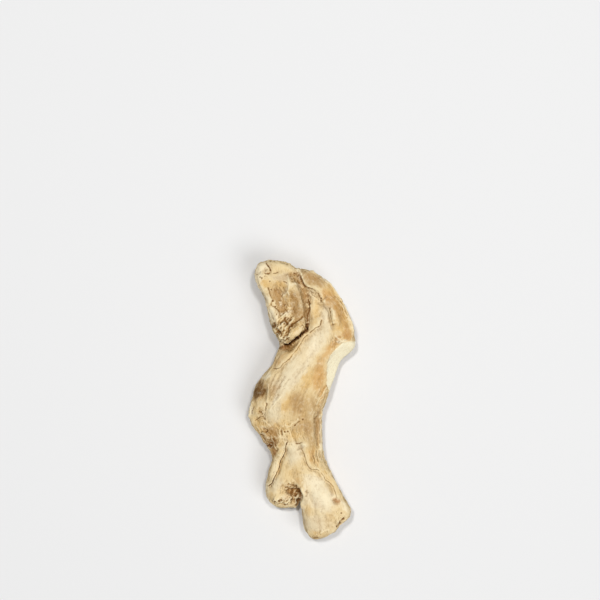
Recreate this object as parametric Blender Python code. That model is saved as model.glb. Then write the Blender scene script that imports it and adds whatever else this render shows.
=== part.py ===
"""A dried ginger rhizome, one solid grown in one piece, lying on a table.

Plan positions are in millimetres from the middle of the piece, +Y along its length towards the
budded end, +X to the right of it seen from above, and +Z up from the table that it lies on.
"""

import bmesh
import bpy
import numpy as np
from mathutils import Vector, noise

MM = 0.001

# Each section of a limb is (left edge x, y, z, right edge x, y, z, rise, drop): the two edges that show
# in plan, how far the middle rises above the line between them, and how far it hangs below.
TRUNK_SECTIONS = [
    (-4.0, 46.9, 9.5, 0.2, 46.1, 9.5, 2.2, 1.8),
    (-6.2, 44.4, 9.0, 4.6, 44.4, 9.5, 4.4, 4.2),
    (-7.0, 40.6, 8.5, 9.7, 40.0, 10.0, 5.4, 5.6),
    (-7.0, 36.8, 8.0, 12.5, 36.5, 10.0, 5.8, 6.4),
    (-6.6, 32.2, 8.0, 14.9, 32.2, 9.5, 6.4, 7.0),
    (-6.6, 27.8, 8.0, 17.0, 27.8, 9.5, 6.8, 7.2),
    (-7.0, 22.2, 8.5, 18.8, 23.0, 9.0, 7.0, 7.2),
    (-8.6, 17.3, 9.0, 18.7, 18.6, 8.5, 7.2, 7.0),
    (-10.8, 12.7, 9.0, 14.4, 14.9, 8.0, 7.4, 7.0),
    (-13.7, 8.5, 8.5, 12.2, 10.4, 8.0, 7.6, 7.0),
    (-16.3, 4.7, 8.0, 10.2, 4.7, 8.5, 7.8, 7.0),
    (-17.4, 0.5, 7.5, 8.7, 0.1, 8.5, 7.8, 7.0),
    (-18.6, -4.4, 7.0, 7.3, -4.1, 8.5, 7.6, 6.8),
    (-17.9, -7.9, 7.0, 7.1, -7.6, 8.5, 7.0, 6.4),
    (-15.2, -11.8, 7.5, 7.2, -11.4, 8.5, 6.4, 6.0),
    (-12.8, -15.8, 8.0, 7.3, -15.3, 8.5, 5.8, 5.6),
    (-10.4, -18.8, 8.0, 7.6, -18.8, 8.5, 5.6, 5.6),
    (-10.6, -22.5, 7.5, 8.5, -22.8, 8.5, 5.8, 6.0),
    (-11.7, -26.3, 7.0, 10.2, -26.3, 8.5, 6.2, 6.6),
    (-6.6, -30.2, 8.0, 12.5, -30.2, 9.0, 6.4, 7.0),
    (-0.6, -34.0, 9.0, 15.2, -34.4, 9.5, 5.8, 6.0),
    (0.0, -38.0, 9.0, 17.3, -38.0, 10.0, 5.4, 5.6),
    (0.1, -40.8, 9.0, 16.7, -41.0, 10.0, 5.2, 5.2),
    (0.5, -43.6, 9.0, 13.5, -43.2, 9.5, 4.8, 4.6),
    (1.5, -46.1, 9.0, 11.0, -46.1, 9.5, 3.8, 3.6),
    (3.4, -48.6, 9.0, 7.2, -48.6, 9.0, 1.8, 1.8),
]
LOWER_LEFT_SECTIONS = [
    (-9.6, -18.4, 8.0, 0.0, -19.5, 8.0, 4.6, 5.0),
    (-10.6, -22.3, 7.5, 0.4, -23.3, 8.0, 5.2, 5.6),
    (-12.1, -26.5, 7.0, 0.2, -27.5, 7.5, 5.8, 6.0),
    (-12.9, -30.3, 6.8, -0.9, -31.0, 7.5, 6.0, 6.0),
    (-12.7, -33.3, 6.8, -1.0, -34.5, 7.5, 5.6, 5.8),
    (-11.3, -36.0, 6.8, -1.2, -36.8, 7.0, 4.4, 4.8),
    (-9.2, -37.4, 6.6, -2.0, -37.9, 7.0, 2.4, 2.6),
]
KNOB_SECTIONS = [
    (-13.2, 48.8, 11.0, -5.6, 48.9, 12.0, 2.0, 2.2),
    (-16.3, 46.4, 11.0, -1.8, 46.3, 12.0, 4.6, 4.6),
    (-16.4, 43.2, 11.0, -0.6, 42.8, 12.0, 5.6, 5.6),
    (-15.4, 40.2, 11.0, 0.8, 39.3, 12.0, 6.2, 7.0),
    (-13.4, 36.2, 10.5, 1.9, 35.5, 12.0, 6.4, 7.8),
    (-11.9, 32.3, 10.0, 2.4, 31.3, 12.0, 6.6, 8.0),
    (-11.1, 28.5, 10.0, 2.2, 27.8, 12.0, 6.6, 8.0),
    (-10.5, 25.0, 10.5, 1.3, 24.3, 12.5, 6.2, 7.4),
    (-8.7, 22.3, 11.0, -1.2, 22.0, 13.0, 5.2, 6.0),
    (-7.6, 20.0, 11.5, -4.6, 19.5, 12.5, 2.4, 3.4),
]

RINGS_PER_SPAN = 4
POINTS_AROUND = 40
SECTION_SQUARENESS = 2.4
FINE_VOXEL = 0.5 * MM
LIMB_SMOOTHING = 12
RELIEF_SMOOTHING = 2
TRIANGLES_WANTED = 11600
SNAP_TO_TABLE = 0.04 * MM

# Broad swellings and hollows of the upper side: (x, y, radius along X, radius along Y, height).
UPPER_SWELLINGS = [
    (-13.4, 43.0, 3.2, 3.6, 1.2),
    (-11.4, 31.5, 1.8, 5.0, 0.9),
    (-7.6, 37.4, 3.6, 4.4, -2.6),
    (-4.0, 31.6, 3.8, 5.0, -2.8),
    (-2.2, 24.6, 4.0, 2.2, 1.2),
    (-3.2, 43.6, 2.6, 1.8, -1.6),
    (6.2, 31.0, 2.0, 5.0, -1.1),
    (8.6, 37.0, 2.2, 3.4, -0.9),
    (13.0, 28.6, 1.8, 4.6, -0.9),
    (12.0, 19.6, 2.4, 3.0, -1.3),
    (-5.6, 14.0, 6.0, 4.0, 0.6),
    (-8.6, 15.0, 1.8, 3.4, -0.8),
    (7.0, 8.6, 2.0, 6.0, -0.7),
    (-14.4, 3.8, 2.2, 3.0, -2.0),
    (-1.4, -1.2, 3.2, 4.6, -1.1),
    (-9.6, -4.6, 2.6, 3.6, 0.6),
    (5.8, -8.0, 1.4, 7.0, -0.9),
    (3.0, -8.6, 3.0, 4.0, -0.7),
    (-14.6, -7.6, 2.4, 3.4, -0.8),
    (-3.4, -18.6, 2.2, 4.6, 0.6),
    (-2.6, -25.4, 2.4, 2.4, -0.7),
    (4.0, -19.4, 1.6, 3.0, -0.7),
    (7.4, -22.0, 1.2, 3.6, -0.7),
    (0.6, -14.8, 1.5, 1.3, 0.9),
    (-4.4, -31.2, 3.4, 2.6, -2.4),
    (-1.6, -33.2, 1.8, 2.6, -3.6),
    (6.4, -32.6, 3.0, 5.0, 0.7),
    (9.6, -41.0, 3.6, 3.0, -0.8),
]
# Low points of the underside that it rests on, and hollows between them, in the same form but outwards
# where the height is above zero.
UNDER_SWELLINGS = [
    (9.0, 26.6, 5.4, 5.4, 2.4),
    (-10.6, -2.4, 4.8, 4.8, 1.8),
    (5.6, -28.6, 4.6, 4.6, 2.2),
    (-2.0, 12.0, 6.0, 7.0, -1.2),
    (1.0, -12.0, 4.0, 6.0, -0.8),
    (-8.8, 34.0, 5.0, 6.0, -1.0),
]

# How far ridges and skin edges take to fade in from their ends, and how round a ridge's crest is.
RIDGE_FADE = 1.5
SKIN_EDGE_FADE = 2.5
CREST_ROUNDING = 0.3
LINE_STEPS = 4

# Ridges and furrows, the same on both sides of a line: (height, width, plan points).
KNOB_RIDGES = [
    (-3.4, 0.8, [(-0.9, 43.6), (-0.2, 41.8), (0.9, 39.7), (1.9, 36.9), (2.4, 33.4), (2.7, 30.9), (2.5, 27.8),
                 (2.1, 25.0), (0.7, 23.0), (-1.9, 21.0), (-4.3, 19.0), (-6.2, 18.8), (-8.0, 20.0)]),
    (1.1, 0.8, [(-15.2, 44.6), (-14.1, 40.7), (-12.3, 38.4), (-10.9, 35.5), (-10.5, 32.7), (-8.9, 29.9),
                (-8.2, 27.0)]),
    (0.9, 0.8, [(-5.4, 43.2), (-4.4, 40.6), (-4.0, 38.2), (-5.6, 36.2), (-4.2, 34.4), (-4.0, 31.4),
                (-5.6, 28.0)]),
    (0.6, 0.6, [(-2.6, 40.6), (-1.6, 37.6), (-0.6, 34.6), (-0.8, 31.6)]),
    (-0.6, 0.5, [(-3.2, 33.6), (-2.8, 31.2), (-3.6, 29.2)]),
    (-0.5, 0.5, [(-9.4, 42.0), (-8.4, 39.6), (-8.8, 37.2)]),
    (0.9, 1.1, [(-4.6, 21.0), (-2.4, 22.4), (-0.2, 24.2), (1.0, 26.4), (1.2, 29.4)]),
    (-0.9, 0.6, [(-6.4, 22.4), (-5.0, 24.6), (-3.0, 26.6), (-0.9, 28.2)]),
    (0.7, 0.6, [(-9.6, 25.2), (-8.2, 25.8), (-7.2, 25.0), (-6.0, 25.8)]),
    (0.5, 0.6, [(-7.6, 27.4), (-6.4, 26.6), (-5.0, 27.2)]),
    (-0.8, 0.5, [(-16.4, 43.2), (-13.9, 42.6), (-11.8, 43.9), (-9.6, 44.8), (-7.6, 45.3), (-3.1, 45.0)]),
    (-0.9, 0.5, [(-13.9, 47.6), (-12.2, 46.4), (-10.6, 44.6)]),
    (0.6, 0.6, [(-15.8, 45.8), (-12.8, 47.4), (-9.4, 47.8), (-6.0, 47.2)]),
]
UPPER_BODY_RIDGES = [
    (0.8, 0.7, [(1.6, 45.5), (4.5, 44.7), (6.8, 43.4), (9.4, 39.8), (11.4, 36.9), (13.7, 34.0), (15.3, 31.1),
                (16.5, 28.2), (17.4, 25.3), (18.2, 22.4)]),
    (0.6, 0.6, [(5.0, 42.4), (7.4, 39.6), (9.6, 36.2), (12.0, 32.4), (13.4, 29.4)]),
    (-0.6, 0.6, [(14.0, 31.0), (15.3, 27.8), (16.2, 24.4)]),
    (0.7, 0.8, [(3.5, 36.6), (3.9, 33.0), (3.8, 29.6), (3.3, 26.6), (2.7, 24.6)]),
    (0.8, 0.8, [(9.9, 31.6), (10.6, 29.6), (11.0, 27.6), (11.5, 25.4)]),
    (-0.9, 0.7, [(9.0, 30.8), (9.7, 28.6), (10.2, 26.4)]),
    (1.0, 0.8, [(10.6, 24.6), (12.6, 22.2), (14.6, 21.2)]),
]
MIDDLE_RIDGES = [
    (0.25, 0.6, [(3.6, 20.6), (0.4, 15.6), (-3.6, 10.4), (-6.6, 6.2)]),
    (0.25, 0.6, [(7.4, 20.6), (4.6, 15.6), (1.2, 10.0), (-2.0, 5.6), (-4.4, 1.0)]),
    (-0.25, 0.6, [(6.6, 16.4), (3.6, 10.4), (1.4, 5.4), (0.4, 1.2)]),
    (-0.25, 0.6, [(-4.6, 9.6), (-8.2, 4.8), (-10.6, 0.4), (-12.2, -2.6)]),
    (0.4, 0.6, [(-9.6, 9.8), (-12.4, 5.6), (-15.8, 1.6)]),
    (-0.5, 0.6, [(-13.4, 8.6), (-11.6, 6.0), (-12.6, 2.6), (-12.2, 0.0)]),
    (0.4, 0.6, [(-10.7, 7.4), (-11.6, 4.2), (-12.2, 1.8)]),
    (0.8, 0.8, [(9.2, 5.1), (7.2, 2.2), (5.4, -0.7), (4.7, -1.9)]),
    (-1.0, 0.7, [(5.1, -4.4), (5.7, -8.3), (5.9, -12.8), (6.1, -17.0)]),
    (0.5, 0.6, [(8.2, -1.6), (7.0, -6.2), (6.9, -10.7), (6.9, -14.9), (7.3, -18.4)]),
    (0.5, 0.6, [(2.6, 0.4), (3.2, -4.4), (3.6, -9.4), (2.8, -13.6)]),
    (-0.5, 0.6, [(1.0, -3.0), (1.4, -7.6), (1.0, -12.0)]),
    (0.4, 0.6, [(-7.0, -2.0), (-6.0, -6.0), (-4.6, -9.4)]),
]
BULGE_RIDGES = [
    (0.6, 0.8, [(-17.2, 0.4), (-18.0, -3.0), (-18.2, -6.2), (-17.2, -9.4), (-15.6, -12.4)]),
    (-0.6, 0.7, [(-16.9, -8.1), (-16.0, -6.4), (-14.6, -5.5), (-13.0, -5.3)]),
    (-0.5, 0.6, [(-15.4, -2.0), (-14.2, -3.4), (-13.2, -5.0), (-13.6, -7.2)]),
    (-0.7, 0.5, [(-15.7, -11.4), (-13.2, -10.2), (-10.4, -11.3), (-8.6, -10.4), (-7.1, -12.1)]),
    (-0.4, 0.6, [(-6.0, -10.9), (-3.6, -10.2), (-1.7, -7.8), (0.1, -5.8)]),
    (0.5, 0.6, [(-14.6, -13.0), (-12.8, -12.2), (-11.2, -13.0), (-9.6, -12.4)]),
    (-0.8, 0.6, [(-13.0, -13.6), (-12.0, -15.0), (-11.0, -17.4), (-10.4, -20.4)]),
]
LOBE_RIDGES = [
    (-2.2, 0.65, [(-5.4, -15.4), (-6.1, -18.2), (-7.9, -21.5), (-8.5, -24.1), (-9.5, -26.1), (-10.5, -28.7),
                 (-12.2, -30.5)]),
    (0.8, 0.8, [(-6.9, -15.0), (-7.6, -18.2), (-9.3, -21.5), (-10.2, -24.6), (-11.4, -27.6)]),
    (-0.4, 0.6, [(-4.0, -16.4), (-4.6, -20.4), (-6.2, -24.4)]),
    (0.4, 0.6, [(-2.0, -17.4), (-1.6, -21.4), (-0.6, -25.0)]),
    (0.5, 0.6, [(3.6, -16.4), (5.4, -20.4), (8.6, -25.0), (11.6, -29.6)]),
    (0.9, 0.8, [(-2.0, -28.4), (-0.2, -30.6), (0.9, -32.6), (0.9, -35.4), (0.6, -38.4)]),
    (-0.8, 0.7, [(2.0, -30.2), (2.8, -32.6), (2.4, -34.8)]),
    (0.6, 0.7, [(-8.0, -27.6), (-6.2, -28.6), (-4.4, -28.4), (-2.6, -27.8)]),
    (-0.5, 0.55, [(-7.6, -29.2), (-5.8, -29.9), (-4.0, -29.6)]),
    (0.7, 0.8, [(-10.6, -34.4), (-8.4, -33.4), (-6.2, -33.6), (-4.4, -34.6), (-3.0, -36.4)]),
    (0.4, 0.6, [(6.0, -30.0), (8.4, -34.6), (9.6, -38.6)]),
    (-0.4, 0.6, [(3.6, -33.0), (4.6, -37.6), (4.4, -42.0)]),
    (0.5, 0.7, [(4.2, -46.9), (6.0, -47.3), (7.6, -46.7)]),
    (0.6, 0.8, [(8.8, -46.0), (10.6, -44.8), (12.2, -43.2), (14.0, -41.8)]),
]
# Edges of skin that stand proud on the left of a line, and ease back over their reach: (height, reach,
# plan points). They are the band along the right shoulder, the flap under the knob and the skin on the fork.
SKIN_EDGES = [
    (1.8, 2.8, [(-1.3, 45.4), (-0.1, 42.2), (1.5, 39.8), (3.9, 38.5), (5.9, 37.1), (6.4, 35.1), (8.5, 33.4),
                (9.5, 32.7), (10.2, 30.0), (10.6, 28.2), (11.1, 26.0), (10.6, 24.1)]),
    (1.4, 3.0, [(-10.3, 11.2), (-8.0, 11.2), (-6.0, 13.2), (-4.7, 14.3), (-2.4, 16.9), (0.1, 20.8),
                (2.6, 23.5), (5.3, 25.5), (6.1, 26.2), (6.8, 28.2), (6.6, 30.4)]),
    (1.6, 2.4, [(-1.8, -14.8), (0.1, -14.1), (0.5, -17.1), (1.3, -20.5), (2.6, -23.1), (4.7, -23.8),
                (6.7, -25.9), (10.3, -29.2), (11.8, -33.4), (12.6, -35.4)]),
]
# Pits and scars of the upper side: (x, y, radius, depth), each with a low rim round it.
UPPER_PITS = [
    (-10.0, 26.2, 0.9, 1.0),
    (-7.9, 24.4, 1.0, 1.1),
    (-6.4, 23.6, 0.8, 1.0),
    (-5.4, 28.2, 0.9, 0.9),
    (-8.6, 22.6, 0.8, 0.8),
    (-2.6, 27.0, 0.7, 0.6),
    (-12.8, 45.6, 0.9, 0.8),
    (-14.6, 45.0, 0.7, 0.6),
    (-13.2, -10.0, 0.9, 0.8),
    (-14.8, -3.0, 0.8, 0.7),
    (-15.8, -6.6, 0.8, 0.8),
    (-12.0, -7.6, 0.7, 0.7),
    (-13.0, -12.6, 0.7, 0.8),
    (-16.2, -10.6, 0.8, 0.6),
    (-9.6, -35.2, 0.8, 0.9),
    (-8.0, -34.9, 0.9, 1.0),
    (-6.6, -35.8, 0.8, 0.9),
    (-3.8, -35.2, 0.8, 0.9),
    (-4.8, -31.4, 1.2, 1.4),
    (-1.9, -31.8, 1.3, 1.8),
    (-3.4, -33.2, 0.9, 1.0),
    (11.9, -35.0, 1.0, 0.9),
    (14.4, -41.0, 0.9, 1.0),
    (13.2, -42.6, 0.9, 1.0),
    (-2.6, 22.3, 0.6, 0.5),
]
# The cut face on the right shoulder: the line where it starts, its height there and along that line, and
# how steeply it falls beyond it.
CUT_EDGE = [(20.5, 21.8), (18.2, 21.4), (15.4, 20.6), (13.2, 19.2), (11.0, 17.0), (9.3, 14.2),
            (8.5, 10.3), (8.7, 5.2), (9.2, 3.2)]
CUT_SLOPE = 1.25
CUT_TOP = 15.2
CUT_TOP_FALL = 0.12

# Ridges and furrows of the underside, in the same form.
UNDER_RIDGES = [
    (-0.9, 0.9, [(2.0, 40.0), (4.0, 32.0), (3.0, 22.0), (-2.0, 14.0), (-7.0, 8.0)]),
    (0.7, 1.0, [(8.0, 36.0), (11.5, 31.0), (13.0, 24.0)]),
    (-0.8, 0.8, [(-14.0, -8.0), (-8.0, -10.0), (-2.0, -9.0), (4.0, -11.0)]),
    (0.8, 0.9, [(-12.0, -12.0), (-6.0, -13.0), (0.0, -12.0), (5.0, -14.0)]),
    (-1.2, 1.0, [(-2.0, -18.0), (-1.5, -26.0), (-1.0, -32.0)]),
    (-0.7, 0.8, [(9.0, -40.0), (7.0, -32.0), (4.0, -24.0)]),
    (0.6, 0.8, [(-8.0, 40.0), (-7.0, 32.0), (-5.0, 25.0)]),
]

# The line that the fibres follow from the budded end to the lobed end.
FIBRE_LINE = [(2.0, 52.0), (5.5, 42.0), (8.0, 32.0), (6.0, 20.0), (0.0, 9.0), (-5.0, -2.0),
              (-4.0, -12.0), (-2.0, -22.0), (-1.5, -34.0), (-1.0, -52.0)]


def rounded_path(rows, per_span):
    """Catmull-Rom through rows of numbers, per_span new rows for each gap."""
    rows = np.array(rows, float)
    padded = np.vstack([2 * rows[0] - rows[1], rows, 2 * rows[-1] - rows[-2]])
    found = []
    for i in range(len(rows) - 1):
        before, start, end, after = padded[i : i + 4]
        for count in range(per_span):
            t = count / per_span
            found.append(
                0.5
                * (
                    2 * start
                    + (end - before) * t
                    + (2 * before - 5 * start + 4 * end - after) * t**2
                    + (3 * start - before - 3 * end + after) * t**3
                )
            )
    return np.array([*found, rows[-1]])


def add_limb(shape, sections):
    """Adds a closed tube of superelliptic rings, one through each pair of edges."""
    angles = np.linspace(0, 2 * np.pi, POINTS_AROUND, endpoint=False)
    power = 2 / SECTION_SQUARENESS
    across = np.sign(np.cos(angles)) * np.abs(np.cos(angles)) ** power
    upward = np.sign(np.sin(angles)) * np.abs(np.sin(angles)) ** power
    rings = []
    for row in rounded_path(sections, RINGS_PER_SPAN):
        left, right, rise, drop = row[0:3], row[3:6], row[6], row[7]
        points = (left + right) / 2 + np.outer(across, (right - left) / 2)
        points[:, 2] += upward * np.where(upward > 0, rise, drop)
        rings.append([shape.verts.new(Vector(p) * MM) for p in points])
    for low, high in zip(rings, rings[1:]):
        for i in range(POINTS_AROUND):
            j = (i + 1) % POINTS_AROUND
            shape.faces.new((low[i], low[j], high[j], high[i]))
    shape.faces.new(rings[0])
    shape.faces.new(rings[-1])


def shown_mesh(thing):
    """What an object's modifiers make of it, as a mesh of its own."""
    view = bpy.context.evaluated_depsgraph_get()
    return bpy.data.meshes.new_from_object(thing.evaluated_get(view))


def resurfaced(mesh, smoothing):
    """One closed, even skin over a mesh whose parts may cross."""
    thing = bpy.data.objects.new("resurfaced", mesh)
    bpy.context.collection.objects.link(thing)
    fuse = thing.modifiers.new("fuse", "REMESH")
    fuse.mode = "VOXEL"
    fuse.voxel_size = FINE_VOXEL
    soften = thing.modifiers.new("soften", "SMOOTH")
    soften.factor = 0.5
    soften.iterations = smoothing
    skin = shown_mesh(thing)
    bpy.data.objects.remove(thing)
    return skin


def limbs():
    """The trunk, its lower left lobe and the knob as closed tubes that cross."""
    shape = bmesh.new()
    for sections in (TRUNK_SECTIONS, LOWER_LEFT_SECTIONS, KNOB_SECTIONS):
        add_limb(shape, sections)
    bmesh.ops.recalc_face_normals(shape, faces=shape.faces)
    mesh = bpy.data.meshes.new("limbs")
    shape.to_mesh(mesh)
    shape.free()
    return mesh


def read_points(mesh):
    """The corners of a mesh in millimetres."""
    flat = np.empty(len(mesh.vertices) * 3, np.float32)
    mesh.vertices.foreach_get("co", flat)
    return flat.reshape(-1, 3).astype(float) / MM


def read_normals(mesh):
    """The outward direction at each corner of a mesh."""
    flat = np.empty(len(mesh.vertices) * 3, np.float32)
    mesh.vertices.foreach_get("normal", flat)
    return flat.reshape(-1, 3).astype(float)


def write_points(mesh, points):
    """Puts corners back into a mesh."""
    mesh.vertices.foreach_set("co", (points * MM).astype(np.float32).ravel())
    mesh.update()


def eased(values, low, high):
    """0 below low, 1 above high, and a smooth rise between."""
    t = np.clip((values - low) / (high - low), 0, 1)
    return t * t * (3 - 2 * t)


def from_path(plan, path):
    """How far points lie from a plan path, on which side (left is 1), and how far along it."""
    gap = np.full(len(plan), np.inf)
    side = np.ones(len(plan))
    place = np.zeros(len(plan))
    run = 0.0
    for start, end in zip(path[:-1], path[1:]):
        span = end - start
        length = np.hypot(*span)
        t = np.clip((plan - start) @ span / length**2, 0, 1)
        away = plan - start - t[:, None] * span
        distance = np.hypot(away[:, 0], away[:, 1])
        nearer = distance < gap
        turn = span[0] * away[:, 1] - span[1] * away[:, 0]
        gap[nearer] = distance[nearer]
        side[nearer] = np.where(turn < 0, -1.0, 1.0)[nearer]
        place[nearer] = run + t[nearer] * length
        run += length
    return gap, side, place, run


def swelling(plan, x, y, wide, long, height):
    """A smooth mound, or a hollow where the height is below zero."""
    reach = ((plan[:, 0] - x) / wide) ** 2 + ((plan[:, 1] - y) / long) ** 2
    return height * np.exp(-reach)


def ridge(plan, height, width, points):
    """A ridge or furrow along a line, fading out at its ends."""
    gap, side, place, run = from_path(plan, rounded_path(points, LINE_STEPS))
    taper = eased(place, 0, RIDGE_FADE) * eased(run - place, 0, RIDGE_FADE)
    crest = np.hypot(gap, CREST_ROUNDING) - CREST_ROUNDING
    return height * taper * np.exp(-crest / width)


def skin_edge(plan, height, reach, points):
    """A lifted edge of skin on the left of a line, with a narrow furrow on the right under it."""
    gap, side, place, run = from_path(plan, rounded_path(points, LINE_STEPS))
    taper = eased(place, 0, SKIN_EDGE_FADE) * eased(run - place, 0, SKIN_EDGE_FADE)
    lifted = eased(side * gap, -0.6, 0.7) * np.exp(-gap / reach)
    furrow = np.exp(-(((side * gap + 0.5) / 0.6) ** 2))
    return height * taper * (lifted - 0.5 * furrow)


def pit(plan, x, y, radius, depth):
    """A round pit with a low rim."""
    gap = np.hypot(plan[:, 0] - x, plan[:, 1] - y) / radius
    return depth * (0.35 * np.exp(-(((gap - 1.5) / 0.6) ** 2)) - np.exp(-(gap**2)))


def speckle(points, scale):
    """Smooth unrepeating noise, about -1 to 1, at points in millimetres."""
    return np.array([noise.noise(Vector(p) / scale) for p in points])


def fibre_places(points):
    """Places of points along and across the fibres, in millimetres."""
    gap, side, place, run = from_path(points[:, :2], rounded_path(FIBRE_LINE, 6))
    return np.column_stack([place, side * gap, points[:, 2]])


def push_out(mesh, upper_move, under_move):
    """Moves a mesh along its normals, by one rule where it faces up and another where it faces down."""
    points = read_points(mesh)
    normals = read_normals(mesh)
    upper = eased(normals[:, 2], 0.0, 0.4) * upper_move(points[:, :2])
    under = eased(-normals[:, 2], 0.0, 0.4) * under_move(points[:, :2])
    write_points(mesh, points + normals * (upper + under)[:, None])


def upper_swell(plan):
    """The broad form of the upper side."""
    return sum(swelling(plan, *row) for row in UPPER_SWELLINGS)


def under_swell(plan):
    """The low points that it rests on, and the hollows between them."""
    return sum(swelling(plan, *row) for row in UNDER_SWELLINGS)


def upper_relief(plan):
    """The ridges, furrows, skin edges and pits of the upper side."""
    ridges = KNOB_RIDGES + UPPER_BODY_RIDGES + MIDDLE_RIDGES + BULGE_RIDGES + LOBE_RIDGES
    return (
        sum(ridge(plan, *row) for row in ridges)
        + sum(skin_edge(plan, *row) for row in SKIN_EDGES)
        + sum(pit(plan, *row) for row in UPPER_PITS)
    )


def under_relief(plan):
    """The ridges and furrows of the underside."""
    return sum(ridge(plan, *row) for row in UNDER_RIDGES)


def wrinkle(mesh):
    """Shrinks the skin into long wrinkles along the fibres and low lumps."""
    points = read_points(mesh)
    normals = read_normals(mesh)
    places = fibre_places(points)
    long_folds = speckle(places * (0.16, 1.0, 1.0), 2.6)
    fine_folds = speckle(places * (0.25, 1.0, 1.0) + 40.0, 1.5)
    lumps = speckle(points + 90.0, 9.0)
    flank = eased(-normals[:, 2], -0.8, 0.0)
    move = (0.25 + 0.35 * flank) * long_folds + (0.12 + 0.15 * flank) * fine_folds + 0.4 * lumps
    write_points(mesh, points + normals * move[:, None])


def cut_shoulder(mesh):
    """Slices the right shoulder to a flat sloping face."""
    points = read_points(mesh)
    gap, side, place, run = from_path(points[:, :2], rounded_path(CUT_EDGE, LINE_STEPS))
    outside = (side > 0) & (place > 0) & (place < run)
    limit = CUT_TOP - CUT_TOP_FALL * place - CUT_SLOPE * gap
    sliced = outside & (points[:, 2] > limit)
    points[sliced, 2] = limit[sliced]
    write_points(mesh, points)


def thinned(mesh):
    """The mesh with fewer triangles, small ones kept where it bends most."""
    thing = bpy.data.objects.new("thinned", mesh)
    bpy.context.collection.objects.link(thing)
    thin = thing.modifiers.new("thin", "DECIMATE")
    thin.ratio = TRIANGLES_WANTED / (2 * len(mesh.polygons))
    found = shown_mesh(thing)
    bpy.data.objects.remove(thing)
    return found


def seat(mesh):
    """Cuts the low points flat at the table, and centres the piece over its origin."""
    shape = bmesh.new()
    shape.from_mesh(mesh)
    cut = bmesh.ops.bisect_plane(
        shape,
        geom=[*shape.verts, *shape.edges, *shape.faces],
        dist=SNAP_TO_TABLE,
        plane_co=(0, 0, 0),
        plane_no=(0, 0, 1),
        use_snap_center=True,
        clear_inner=True,
    )
    rims = [part for part in cut["geom_cut"] if isinstance(part, bmesh.types.BMEdge)]
    bmesh.ops.holes_fill(shape, edges=rims)
    bmesh.ops.triangulate(shape, faces=shape.faces)
    bmesh.ops.recalc_face_normals(shape, faces=shape.faces)
    corners = np.array([corner.co for corner in shape.verts])
    middle = (corners.min(axis=0) + corners.max(axis=0)) / 2
    bmesh.ops.translate(shape, verts=shape.verts, vec=(-middle[0], -middle[1], 0))
    shape.to_mesh(mesh)
    shape.free()


for old in list(bpy.data.objects):
    bpy.data.objects.remove(old)

skin = resurfaced(limbs(), LIMB_SMOOTHING)
push_out(skin, upper_swell, under_swell)
push_out(skin, upper_relief, under_relief)
wrinkle(skin)
cut_shoulder(skin)
skin = thinned(resurfaced(skin, RELIEF_SMOOTHING))
seat(skin)
body = bpy.data.objects.new("ginger_rhizome", skin)
bpy.context.collection.objects.link(body)

dried_skin = bpy.data.materials.new("dried ginger skin")
dried_skin.use_nodes = True
coat = dried_skin.node_tree.nodes["Principled BSDF"]
coat.inputs["Base Color"].default_value = (0.58, 0.42, 0.22, 1)
coat.inputs["Roughness"].default_value = 0.8
coat.inputs["Metallic"].default_value = 0
body.data.materials.append(dried_skin)
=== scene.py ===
"""A dried ginger rhizome lying on a pale table, seen from straight above in soft light."""

import math

import bpy
import numpy as np
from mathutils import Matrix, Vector, noise


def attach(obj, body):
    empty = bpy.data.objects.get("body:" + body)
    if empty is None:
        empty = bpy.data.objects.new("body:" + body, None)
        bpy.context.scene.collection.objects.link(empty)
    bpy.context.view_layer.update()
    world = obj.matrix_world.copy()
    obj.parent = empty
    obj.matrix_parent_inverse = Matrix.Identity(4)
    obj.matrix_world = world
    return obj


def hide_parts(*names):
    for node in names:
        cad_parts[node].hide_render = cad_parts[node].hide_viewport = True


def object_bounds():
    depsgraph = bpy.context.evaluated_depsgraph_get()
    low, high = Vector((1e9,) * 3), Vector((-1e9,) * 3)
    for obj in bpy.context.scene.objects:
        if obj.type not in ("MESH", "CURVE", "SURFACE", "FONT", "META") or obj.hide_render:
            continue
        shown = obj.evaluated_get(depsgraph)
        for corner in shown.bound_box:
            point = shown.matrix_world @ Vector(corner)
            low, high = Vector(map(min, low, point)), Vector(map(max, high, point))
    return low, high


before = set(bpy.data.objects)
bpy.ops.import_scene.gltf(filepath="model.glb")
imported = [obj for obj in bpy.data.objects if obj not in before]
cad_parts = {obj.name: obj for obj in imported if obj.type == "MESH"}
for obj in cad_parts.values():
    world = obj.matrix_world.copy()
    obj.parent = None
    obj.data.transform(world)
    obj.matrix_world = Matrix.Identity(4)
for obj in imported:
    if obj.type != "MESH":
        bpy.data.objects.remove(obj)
cad_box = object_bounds()

# The body of the rhizome
# One underground stem, dried whole, so one piece of shrunken flesh in a thin skin. Its form is the solid's,
# copied, closed and smoothed. The upper side is kept fine enough for pores, and the hidden side coarser.
MM = 0.001
WELD_DISTANCE = 0.001 * MM
SKIN_GRAIN = 0.25 * MM
FACET_SMOOTHING = 50
HIDDEN_NORMAL = -0.05
TRIANGLES_WANTED = 192000

bpy.ops.object.select_all(action="DESELECT")
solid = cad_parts["ginger_rhizome"]
rhizome = bpy.data.objects.new("rhizome_skin", solid.data.copy())
bpy.context.scene.collection.objects.link(rhizome)
bpy.context.view_layer.objects.active = rhizome
rhizome.select_set(True)
bpy.ops.object.mode_set(mode="EDIT")
bpy.ops.mesh.select_all(action="SELECT")
bpy.ops.mesh.remove_doubles(threshold=WELD_DISTANCE)
bpy.ops.object.mode_set(mode="OBJECT")
regrain = rhizome.modifiers.new("regrain", "REMESH")
regrain.mode = "VOXEL"
regrain.voxel_size = SKIN_GRAIN
soften = rhizome.modifiers.new("soften", "SMOOTH")
soften.factor = 0.5
soften.iterations = FACET_SMOOTHING
bpy.ops.object.modifier_apply(modifier="regrain")
bpy.ops.object.modifier_apply(modifier="soften")


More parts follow.
